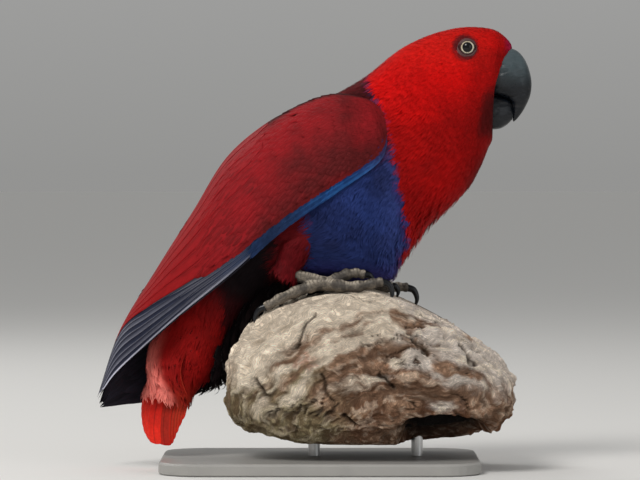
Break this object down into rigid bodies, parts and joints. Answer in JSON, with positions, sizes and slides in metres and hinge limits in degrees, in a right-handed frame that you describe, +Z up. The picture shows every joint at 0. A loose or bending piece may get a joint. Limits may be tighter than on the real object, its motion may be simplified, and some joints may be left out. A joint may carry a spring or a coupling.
{
  "type": "eclectus parrot, still life-size model on a perch",
  "caption": "Life-size still model of a female eclectus parrot gripping a cut length of limb, held on a plain flat display stand.",
  "frame": {"origin": "middle of the underside of the display stand's base", "axes": "+Z up, +X towards the bill, +Y towards the bird's left side"},
  "size_m": [0.2947, 0.1558, 0.3001],
  "materials": {
    "red_plumage": "soft hair-like scarlet feathers of the head, neck and tail",
    "maroon_plumage": "overlapping maroon feathers of the back, wing and rump",
    "blue_plumage": "violet-blue belly and slate-blue flight feathers",
    "horn": "polished black horn",
    "eye": "wet glossy eye with a pale iris",
    "scaly_skin": "grey scaled skin of the feet",
    "bark": "pale weathered bark with dark cracks, sawn at the far end",
    "stand_paint": "satin warm grey paint",
    "stand_steel": "brushed"
  },
  "bodies": {
    "root": {"bill_lower": "horn", "bill_upper": "horn", "claw_inner_back_left": "horn", "claw_inner_back_right": "horn", "claw_inner_front_left": "horn", "claw_inner_front_right": "horn", "claw_outer_back_left": "horn", "claw_outer_back_right": "horn", "claw_outer_front_left": "horn", "claw_outer_front_right": "horn", "eye_left": "eye", "eye_right": "eye", "flight_feathers_left": "blue_plumage", "flight_feathers_right": "blue_plumage", "foot_left": "scaly_skin", "foot_right": "scaly_skin", "head": "red_plumage", "neck": "red_plumage", "perch": "bark", "stand_base": "stand_paint", "stand_rod_1": "stand_steel", "stand_rod_2": "stand_steel", "tail": "red_plumage", "tail_coverts": "maroon_plumage", "thigh_left": "maroon_plumage", "thigh_right": "maroon_plumage", "toe_inner_back_left": "scaly_skin", "toe_inner_back_right": "scaly_skin", "toe_inner_front_left": "scaly_skin", "toe_inner_front_right": "scaly_skin", "toe_outer_back_left": "scaly_skin", "toe_outer_back_right": "scaly_skin", "toe_outer_front_left": "scaly_skin", "toe_outer_front_right": "scaly_skin", "trunk": "maroon_plumage", "wing_left": "maroon_plumage", "wing_right": "maroon_plumage"}
  },
  "joints": []
}
